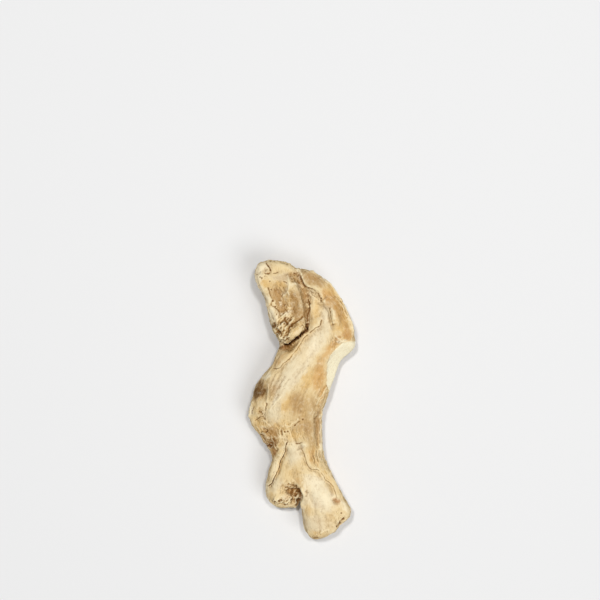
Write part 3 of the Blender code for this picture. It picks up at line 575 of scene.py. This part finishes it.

# The colours of the skin
# Dried skin is cream in its palest places, grey-cream where bare strands show, tan and orange where oil has
# dried in it, and reddish brown in a few stains. Light and shade are painted in as well: painted shade, brown
# to nearly black, in cracks, pores, hollows and under the knob's overhang, brown painted shade on steep
# sides, and painted highlight on crests and rims.

# Oval patches of each, in rows as for the relief.
# The thin cream strips along the waist's right edge, the bulge's left edge and the top of the cut face are
# partly painted highlight on those rims.
CREAM_PATCHES = [
    # on the knob
    (263.6, 296, 10, 3.6, -62, 1), (273.4, 315, 8, 4, -78, 1), (288.6, 283, 9, 1.8, 88, 0.55),
    (296, 284.6, 7, 1.6, -8, 0.7), (290.6, 306, 4, 1.3, 86, 0.5), (287, 313, 7, 1.8, 12, 0.8),
    (280.6, 303, 1.2, 1.2, 0, 0.9), (285, 293, 4, 1.4, 55, 0.6), (300, 329, 6, 1.6, 40, 0.5),
    (283, 323, 4, 1.2, 55, 0.7), (261, 268, 9, 7, 70, 0.9), (258, 280, 7, 3, -60, 0.6),
    (297, 268.6, 5, 2.5, -45, 0.8), (301, 278, 6, 1.5, -65, 0.8), (283, 340, 3, 2, 60, 0.6),
    (309, 322, 9, 1.5, 86, 0.5),
    # on the band and shoulder
    (325, 278, 8, 2, -46, 0.8), (336, 292, 12, 1.6, -58, 0.4), (347, 314, 12, 1.6, -65, 0.6),
    (333, 312, 9, 1.6, -80, 0.5), (340, 340.5, 6, 1.4, 8, 0.9), (311, 293, 4, 3, 0, 0.5),
    # on the trunk
    (313, 346, 12, 7, 60, 0.7), (300, 372, 14, 4, 52, 0.4), (284, 383, 8, 4, 55, 0.4),
    (277, 400, 7, 2.5, 50, 0.8), (267, 376, 5, 2, 45, 0.9),
    # on the bulge
    (250.5, 412, 9, 2, 80, 0.7), (264, 427, 2.6, 2.6, 0, 0.4), (264, 408, 8, 2, -80, 0.3),
    # round the waist
    (303, 443.4, 2.4, 2.2, 0, 0.8), (321.6, 432, 22, 1.2, 89, 0.8),
    # on the left lobe and in the notch
    (276, 465, 12, 2.6, 66, 0.5), (266.6, 491, 9, 2, -85, 0.9), (302.5, 515, 12, 1.4, -86, 0.6),
    # on the right lobe
    (304, 492, 9, 1.4, 88, 0.8), (317, 484, 15, 8, -50, 1), (320, 498, 16, 10, -20, 0.9),
    (345, 505, 8, 2.5, -50, 0.7), (324, 527.5, 4, 2, 0, 0.4),
]
GREY_PATCHES = [
    # on the knob
    (281, 277, 9, 4, 5, 0.9),
    # on the band and shoulder
    (325.5, 316, 17, 4.5, 88, 0.95), (319, 336, 14, 8, 60, 0.9), (314, 296, 6, 4, 0, 0.5),
    # on the trunk
    (304, 356, 18, 9, 52, 0.7), (292, 372, 18, 10, 52, 0.8), (285, 386, 14, 7, 55, 0.8),
    (276, 383, 6, 5, 60, 0.6),
    # on the bulge
    (276, 411, 13, 8, 60, 0.85),
    # round the waist
    (294, 452, 13, 8, 82, 0.9), (284, 437, 5, 5, 0, 0.4),
    # on the left lobe and in the notch
    (286.6, 496, 4.4, 2.2, 8, 1), (277, 484, 8, 6, 60, 0.7), (287, 496, 5, 2.5, 0, 0.7),
    # on the right lobe
    (316, 521, 15, 10, 0, 0.8),
]
TAN_PATCHES = [
    # on the knob
    (264, 283.6, 5, 3.4, -20, 0.9), (270, 305, 3, 2, 60, 0.8), (283, 283, 8, 3, 0, 0.6),
    (296, 331, 10, 4, 40, 0.6), (283, 326, 9, 7, -60, 0.7), (262, 266, 7, 3, -60, 0.5),
    (290, 300, 12, 4, 88, 0.7), (267, 284, 6, 3, -10, 0.8), (283, 286, 7, 4, 0, 0.5),
    (299, 330, 8, 5, 40, 0.9), (264, 270, 6, 1.6, -60, 0.8),
    # on the band and shoulder
    (316, 314, 12, 4, 86, 0.5), (337, 300, 18, 8, -58, 1), (341, 322, 12, 8, -80, 0.75),
    # on the trunk
    (306, 353, 10, 5, 52, 0.35), (293, 350, 9, 4.5, 50, 0.8), (308, 380, 12, 5, 72, 0.8),
    (325, 385, 5, 2, 80, 0.5),
    # on the bulge
    (257, 406, 9, 5, 80, 0.4), (268, 419, 7, 5, 0, 0.3), (262, 426, 9, 6, -45, 0.8),
    # round the waist
    (287, 403, 10, 5, 60, 0.8), (280, 448, 9, 2.5, 75, 0.6), (313, 450, 14, 6, 88, 0.5),
    (296, 434, 8, 5, 10, 0.8), (305, 410, 14, 3, 78, 0.5), (282, 424, 7, 5, 0, 0.6),
    # on the left lobe and in the notch
    (295, 470, 9, 7, 80, 0.4), (280, 466, 12, 3, 66, 0.5), (271, 495, 6, 4, 0, 0.4),
    # on the right lobe
    (333, 484, 14, 2.5, -55, 0.4), (309, 506, 8, 5, 80, 0.5), (330, 514, 8, 5, 60, 0.4),
    (324, 470, 9, 2.4, -50, 0.4), (318, 532, 9, 4, 0, 0.5),
]
ORANGE_PATCHES = [
    # on the knob
    (293, 324, 7, 3, 35, 0.5),
    # on the band and shoulder
    (330, 301, 9, 5, -50, 1), (339, 316, 11, 5, -68, 0.65), (347, 333, 8, 4, -82, 1),
    (326, 294, 6, 4, -30, 0.7), (337, 308, 9, 5, -62, 0.6), (336, 341, 6, 3, 45, 1),
    # on the trunk
    (329, 350, 7, 4, 55, 0.8), (321, 361, 8, 4, 60, 0.6), (319, 377, 11, 6.5, 84, 1),
    (323, 391, 6, 3, 70, 0.9), (279, 360, 9, 4, 50, 0.6), (289, 345, 8, 3, 38, 0.6),
    # on the bulge
    (272, 433, 4, 4, 0, 0.5), (258, 433, 5, 4, -50, 0.4),
    # round the waist
    (320, 402, 9, 3, 75, 0.6), (312, 455, 9, 2.5, 85, 0.7), (317, 461, 5, 2, 70, 0.6),
    (273, 450, 5, 2, 80, 1),
    # on the left lobe and in the notch
    (299, 479, 3, 3, 0, 0.5), (295, 493, 8, 8, 0, 1),
    # on the right lobe
    (306, 488, 2, 4, 0, 0.5),
]
# Some brown patches are painted shade: in the hollow on the left flank, along the crease beside the knob and
# under the knob's overhang. The rest are the skin's own brown.
BROWN_AND_SHADE_PATCHES = [
    # on the knob
    (281, 277, 9, 4, 0, 0.5), (302, 316, 6, 5, 80, 0.4), (276.6, 294, 8, 5.5, -50, 0.9),
    (282, 305.6, 7, 5, -60, 0.9), (281, 311, 4, 3, 0, 0.7), (297, 298, 10, 9, 90, 0.95),
    (300, 311, 10, 6, 88, 0.9), (296, 277, 7, 6, 0, 1), (286, 320, 4, 5, 0, 0.8),
    (292, 324, 7, 2.4, 42, 0.8), (304.4, 318, 7, 1.8, 85, 0.8), (306.6, 306, 14, 1, 89, 0.3),
    (279, 331, 6, 3, 40, 0.6), (287, 333, 5, 2, 70, 0.6), (269, 265.6, 6, 1.8, -62, 0.6),
    (268, 272, 4, 1.5, 0, 0.6), (281, 332, 7, 5, -60, 0.6), (301, 315, 5, 5, 90, 0.5),
    (268, 300, 4, 2, -50, 0.4),
    # on the band and shoulder
    (347, 331, 8, 3, -80, 0.35), (334, 304, 10, 5, -55, 0.5), (312, 279, 11, 6, -35, 1),
    (318, 281, 9, 4, -40, 0.5),
    # on the trunk
    (259.6, 389, 10, 8, 65, 1), (288, 346, 6, 2.5, 35, 0.8), (274, 387, 9, 5, 62, 0.5),
    # on the bulge
    (271, 436, 10, 7, 60, 0.5), (274, 430, 5, 3, 30, 0.5), (258, 410, 9, 5, 80, 0.1),
    (270, 430, 5, 5, 0, 0.7), (271, 439, 8, 7, 40, 0.8), (273, 441, 4, 6, 0, 0.6),
    (262, 412, 4, 3, 0, 0.4), (263, 437, 5, 3, -45, 0.6),
    # round the waist
    (298, 404, 15, 9, 80, 0.7), (312, 406, 12, 5, 82, 0.6), (307, 424, 12, 7, 8, 0.65),
    (311, 435, 9, 7, 90, 0.6), (274.4, 452, 5, 2, 80, 0.8), (318, 422, 20, 2, 89, 0.5),
    (283, 425, 3, 3, 0, 0.4),
    # on the left lobe and in the notch
    (289, 485, 7, 4, 0, 0.6), (296, 494, 7, 6, 0, 0.7),
    # on the right lobe
    (339, 521, 3, 5, -50, 0.4), (320, 523, 13, 7, 0, 0.25), (315, 536.6, 5, 1.4, 0, 0.8),
]
# Most dark patches are painted shade: along the crease beside the knob and under its overhang, in the hollow
# on the left flank, and partly under the bulge and in the scar. The small ones on the torn end and the knob's
# top are dark marks.
DARK_AND_SHADE_PATCHES = [
    # on the knob
    (307, 310, 14, 0.9, 90, 0.5), (297, 336.6, 10, 1.1, 42, 0.6), (279, 332, 4, 1.6, -40, 0.8),
    (273, 325.6, 2, 3, 0, 0.7), (286, 320, 3, 5, 20, 0.5), (293, 324, 7, 1.4, 38, 0.5),
    (288, 331, 1.4, 5, -10, 0.5), (281, 341.6, 2, 1.4, 0, 0.7), (300, 276, 2, 5, 30, 0.4),
    # on the trunk
    (257.6, 388, 9, 5.4, 65, 0.85), (262.6, 391, 7, 3.6, 20, 0.7), (283, 346, 5, 1.4, 15, 0.9),
    # on the bulge
    (270, 445, 3, 1.5, -10, 0.7), (272.4, 441, 4, 6, 0, 0.6), (268, 444.6, 4, 1.6, 0, 0.8),
    (263, 442, 4, 1.4, -45, 0.6),
    # on the left lobe and in the notch
    (298, 494, 5, 5, 0, 0.5), (297.6, 501, 2.4, 5, 0, 0.9), (285, 503, 3, 1, 15, 0.3),
]
# Reddish-brown stains, except the two under the knob's overhang, which are painted shade, and the one under
# the bulge, which is partly painted shade.
STAIN_AND_SHADE_PATCHES = [
    # on the band and shoulder
    (338, 338, 4, 2, 40, 0.6), (346, 333, 4, 3, -60, 0.4), (326, 300, 4, 3, -40, 0.3),
    # on the trunk
    (284, 347, 6, 2, 30, 0.5), (276, 346, 4, 2, 50, 0.4),
    # on the bulge
    (270, 444, 4, 3, 0, 0.5),
    # round the waist
    (274, 452, 5, 1.6, 80, 0.6),
    # on the left lobe and in the notch
    (300, 503, 3, 5, 0, 0.5), (297, 492, 5, 5, 0, 0.5),
    # on the right lobe
    (336.4, 499, 2.6, 2.4, -30, 1), (337, 503, 3, 1.6, 0, 0.4), (318, 503, 4, 4, 0, 0.2),
]
STRANDY_PATCHES = [
    # on the knob
    (297, 300, 14, 7, 85, 0.4), (292, 328, 8, 5, 40, 0.6),
    # on the band and shoulder
    (336, 310, 16, 6, -65, 0.3),
    # on the trunk
    (276, 386, 16, 8, 62, 0.5), (320, 398, 12, 4, 70, 0.6),
    # on the bulge
    (276, 412, 10, 8, 60, 0.3),
    # round the waist
    (314, 456, 12, 5, 85, 0.7), (293, 452, 12, 8, 80, 0.25), (306, 430, 10, 8, 0, 0.4),
]
# How far patches of colour drift, and how far each peeling layer carries them across, in mm.
PATCH_DRIFT = 0.9
LAYER_DRIFT = 0.8


def standing_out(mesh, blurs, full):
    """How much each point stands out from those round it, from -1 in a furrow to 1 on a crest."""
    ends = np.empty(len(mesh.edges) * 2, np.int32)
    mesh.edges.foreach_get("vertices", ends)
    first, second = ends.reshape(-1, 2).T
    spots = read_vectors(mesh, "co") / MM
    count = np.bincount(first, minlength=len(spots)) + np.bincount(second, minlength=len(spots))
    mean = spots.copy()
    for _ in range(blurs):
        total = np.zeros_like(mean)
        for axis in range(3):
            total[:, axis] = np.bincount(first, mean[second, axis], len(spots))
            total[:, axis] += np.bincount(second, mean[first, axis], len(spots))
        mean = (mean + total / count[:, None]) / 2
    return np.clip(((spots - mean) * read_vectors(mesh, "normal")).sum(axis=1) / full, -1, 1)


normals = read_vectors(mesh, "normal")
drift = PATCH_DRIFT * np.column_stack([speckle(points, 2.2, 3, seed=5), speckle(points, 2.2, 3, seed=83)])
drift[:, 0] += LAYER_DRIFT * (peel + 0.5)
soft_plan = points[:, :2] + drift
uneven = speckle(strands * (0.8, 2, 0.8), 1.0, 3, seed=600)
dark_strands = eased(speckle(strands * (1, 0.6, 1), 0.36, 2, seed=9), 0, 0.5)
# Each peeling layer has a shade of its own, scattered by a fixed rule.
layer_shade = np.modf(np.abs(np.sin(np.floor(peel_field) * 12.9)) * 43.7)[0]


def uneven_coat(rows):
    """Patches of colour whose edges break up along the strands."""
    amount = patches(soft_plan, rows)
    return (0.5 * amount + 0.5 * eased(amount + 0.3 * uneven * (amount > 0.02), 0.15, 0.85)) * facing_up


# One number at each point for each thing that places a colour.
cream = uneven_coat(CREAM_PATCHES)
coats = {
    "cream": cream,
    "grey": uneven_coat(GREY_PATCHES),
    "tan": uneven_coat(TAN_PATCHES),
    "orange": uneven_coat(ORANGE_PATCHES),
    "brown": uneven_coat(BROWN_AND_SHADE_PATCHES),
    "dark": uneven_coat(DARK_AND_SHADE_PATCHES),
    "stain_and_shade": uneven_coat(STAIN_AND_SHADE_PATCHES),
    "strandy": patches(soft_plan, STRANDY_PATCHES) * facing_up * dark_strands,
    "layer_shade": layer_shade * (0.35 + 0.65 * wrinkled),
    # Painted shade in the torn flesh's hollows and painted highlight on its high bits.
    "raw_flesh": torn * raw_flesh,
    "cut_face": cut_face * (0.9 + 0.4 * grit),
    # Painted shade on steep sides, but not where the skin is cream.
    "steep_side_shade": (1 - eased(normals[:, 2], 0.05, 0.55)) * (1 - 0.8 * cream),
    # Painted shade in cracks and pores.
    "crease_shade": crease_shade,
    # Painted highlight on crests, rims and lifted edges.
    "crest": crest,
    # Painted shade in furrows and hollows, and painted highlight on ridges and rises, fine and broad.
    "fine_relief_shading": standing_out(mesh, 5, 0.1),
    "broad_relief_shading": standing_out(mesh, 40, 0.35),
}
for name, values in coats.items():
    layer = mesh.attributes.new(name, "FLOAT", "POINT")
    layer.data.foreach_set("value", values.astype(np.float32))
strand_layer = mesh.attributes.new("strands", "FLOAT_VECTOR", "POINT")
strand_layer.data.foreach_set("vector", strands.astype(np.float32).ravel())


def linear(hex_colour):
    """An sRGB hex colour as linear numbers with full alpha."""
    found = []
    for i in (1, 3, 5):
        value = int(hex_colour[i : i + 2], 16) / 255
        found.append(value / 12.92 if value <= 0.04045 else ((value + 0.055) / 1.055) ** 2.4)
    return (*found, 1.0)


def add_node(tree, kind, inputs, **settings):
    """Adds a node with its settings, and sets or links its inputs by name or number."""
    node = tree.nodes.new(kind)
    for name, value in settings.items():
        setattr(node, name, value)
    for name, value in inputs.items():
        if isinstance(value, bpy.types.NodeSocket):
            tree.links.new(value, node.inputs[name])
        else:
            node.inputs[name].default_value = value
    return node


# Dried ginger skin: a thin, matt, fibrous and slightly chalky plant skin, with hardly any shine.
skin = bpy.data.materials.new("dried ginger skin")
skin.use_nodes = True
tree = skin.node_tree
shader = tree.nodes["Principled BSDF"]
shader.inputs["Roughness"].default_value = 0.8
shader.inputs["Specular IOR Level"].default_value = 0.12
shader.inputs["Metallic"].default_value = 0.0

# Patterns: what they lie on, their size there in mm, and their detail. The strands are counted in mm
# already, and the rest in metres. Real dust is finer than the specks, which are as fine as the picture shows.
strand_place = add_node(tree, "ShaderNodeAttribute", {}, attribute_name="strands").outputs["Vector"]
skin_place = add_node(tree, "ShaderNodeTexCoord", {}).outputs["Object"]
PATTERNS = {
    "streaks": (strand_place, 0.6667, 5.0),
    "fine streaks": (strand_place, 0.25, 3.0),
    "blotches": (skin_place, 2.857 * MM, 4.0),
    "mottle": (skin_place, 1.111 * MM, 3.0),
    "specks": (skin_place, 0.4545 * MM, 2.0),
}
pattern = {}
for name, (place, size, detail) in PATTERNS.items():
    inputs = {"Vector": place, "Scale": 1 / size, "Detail": detail, "Roughness": 0.6}
    pattern[name] = add_node(tree, "ShaderNodeTexNoise", inputs).outputs["Fac"]

# Colours laid over each other in this order: what places them, the colour, the values there between which
# it comes in, and its full strength.
COAT_COLOURS = [
    ("grey", "#EBDBB8", 0.0, 1.0, 0.95),
    ("tan", "#E0B976", 0.0, 1.0, 0.95),
    ("orange", "#D6A664", 0.0, 1.0, 0.9),
    # Brown, partly painted shade in hollows and under the knob.
    ("brown", "#B18852", 0.0, 1.0, 0.9),
    # Cream, partly painted highlight along some rims.
    ("cream", "#FAECCB", 0.0, 1.0, 0.9),
    # Dark, mostly painted shade.
    ("dark", "#5A370C", 0.0, 1.0, 0.95),
    # Reddish-brown stains, with some painted shade under the knob and the bulge.
    ("stain_and_shade", "#AE713C", 0.0, 1.0, 0.75),
]
PATTERN_COLOURS = [
    ("blotches", "#B58C52", 0.52, 0.8, 0.4),
    ("mottle", "#A67E46", 0.54, 0.8, 0.3),
    ("mottle", "#FFF3D6", 0.46, 0.25, 0.3),
    ("streaks", "#B98F54", 0.5, 0.75, 0.22),
    ("fine streaks", "#FBECC8", 0.52, 0.75, 0.3),
    ("specks", "#8C683A", 0.62, 0.85, 0.15),
]
RELIEF_COLOURS = [
    ("strandy", "#86683C", 0.0, 1.0, 0.75),
    # The torn flesh: painted shade in its hollows and painted highlight on its high bits.
    ("raw_flesh", "#6A3F16", -0.04, -0.42, 0.9),
    ("raw_flesh", "#F0DCA8", 0.06, 0.45, 0.35),
    ("layer_shade", "#C79A5C", 0.1, 1.0, 0.35),
    # Painted shade on steep sides.
    ("steep_side_shade", "#967030", 0.0, 1.0, 0.55),
    # Painted shade in broad hollows and painted highlight on broad rises.
    ("broad_relief_shading", "#8A5E24", 0.05, -0.8, 0.7),
    ("broad_relief_shading", "#F5E6BE", 0.1, 0.9, 0.5),
    ("cut_face", "#FFF6D6", 0.0, 1.0, 0.98),
    # Painted shade in fine furrows and painted highlight on fine ridges.
    ("fine_relief_shading", "#75501F", -0.04, -1.0, 0.8),
    ("fine_relief_shading", "#FAEBC4", 0.2, 1.0, 0.4),
    # Painted highlight on crests and rims.
    ("crest", "#F8E8BC", 0.15, 1.0, 0.6),
    # Painted shade in cracks and pores, brown and then nearly black.
    ("crease_shade", "#83592A", 0.05, 0.65, 0.85),
    ("crease_shade", "#321705", 0.55, 0.95, 0.97),
]
# Sockets of a Mix or Math node share their names, so they go by number.
MIX_AMOUNT, MIX_UNDER, MIX_OVER, MIX_RESULT = 0, 6, 7, 2
FIRST_VALUE, SECOND_VALUE = 0, 1
bare_skin = {
    MIX_AMOUNT: pattern["blotches"],
    MIX_UNDER: linear("#E3C58F"),
    MIX_OVER: linear("#EED9AA"),
}
colour = add_node(tree, "ShaderNodeMix", bare_skin, data_type="RGBA").outputs[MIX_RESULT]
for name, hex_colour, low, high, strength in COAT_COLOURS + PATTERN_COLOURS + RELIEF_COLOURS:
    if name in pattern:
        placed_by = pattern[name]
    else:
        placed_by = add_node(tree, "ShaderNodeAttribute", {}, attribute_name=name).outputs["Fac"]
    span = {"Value": placed_by, "From Min": low, "From Max": high, "To Min": 0.0, "To Max": strength}
    amount = add_node(tree, "ShaderNodeMapRange", span).outputs["Result"]
    laid_over = {MIX_AMOUNT: amount, MIX_UNDER: colour, MIX_OVER: linear(hex_colour)}
    colour = add_node(tree, "ShaderNodeMix", laid_over, data_type="RGBA").outputs[MIX_RESULT]
tree.links.new(colour, shader.inputs["Base Color"])

streaks_and_specks = {FIRST_VALUE: pattern["fine streaks"], SECOND_VALUE: pattern["specks"]}
grain = add_node(tree, "ShaderNodeMath", streaks_and_specks, operation="ADD").outputs["Value"]
bump = add_node(tree, "ShaderNodeBump", {"Height": grain, "Strength": 0.45, "Distance": 0.12 * MM})
tree.links.new(bump.outputs["Normal"], shader.inputs["Normal"])
mesh.materials.clear()
mesh.materials.append(skin)

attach(rhizome, "root")
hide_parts("ginger_rhizome")

# The table
# One plain pale sheet of matt card without pattern, cut wide enough to fill the picture from every side.
TABLE_SIZE = 6.0
bpy.ops.object.select_all(action="DESELECT")
bpy.ops.mesh.primitive_plane_add(size=TABLE_SIZE, location=(0, 0, 0))
table = bpy.context.object
table.name = "table"
card = bpy.data.materials.new("matt pale card")
card.use_nodes = True
card_shader = card.node_tree.nodes["Principled BSDF"]
card_shader.inputs["Base Color"].default_value = linear("#EAEAEA")
card_shader.inputs["Roughness"].default_value = 0.9
card_shader.inputs["Specular IOR Level"].default_value = 0.1
table.data.materials.append(card)

# The light
# Two small soft boxes high over the far side, to the left and right, bring out the relief with short shadows.
# A wide one far off at the near right fills the shadows and the cut face, as does an even pale surround.
# Rows: name, place and width in metres, and power in watts.
SOFT_BOXES = [
    ("left_soft_box", (-0.17, 0.3, 1.28), 0.1, 6.4),
    ("right_soft_box", (0.17, 0.24, 1.28), 0.1, 4.7),
    ("fill_box", (0.85, -0.7, 1.75), 1.2, 16.5),
]
SURROUND_STRENGTH = 0.14
for name, place, width, power in SOFT_BOXES:
    lamp = bpy.data.lights.new(name, "AREA")
    lamp.size = width
    lamp.energy = power
    box = bpy.data.objects.new(name, lamp)
    bpy.context.scene.collection.objects.link(box)
    box.location = place
    box.rotation_mode = "QUATERNION"
    box.rotation_quaternion = (-Vector(place)).to_track_quat("-Z", "Y")
surround = bpy.data.worlds.new("surround")
surround.use_nodes = True
background = surround.node_tree.nodes["Background"]
background.inputs["Color"].default_value = (1, 1, 1, 1)
background.inputs["Strength"].default_value = SURROUND_STRENGTH
bpy.context.scene.world = surround
bpy.context.scene.view_settings.view_transform = "Standard"

# The camera
# Straight above the table, with the rhizome where the photograph has it. The lens and sensor are in mm.
LENS_LENGTH = 85.0
SENSOR_WIDTH = 36.0
CAMERA_PLACE = (-0.00065, 0.0348, 0.505)
lens = bpy.data.cameras.new("camera")
lens.lens = LENS_LENGTH
lens.sensor_width = SENSOR_WIDTH
camera = bpy.data.objects.new("camera", lens)
bpy.context.scene.collection.objects.link(camera)
camera.location = CAMERA_PLACE
bpy.context.scene.camera = camera
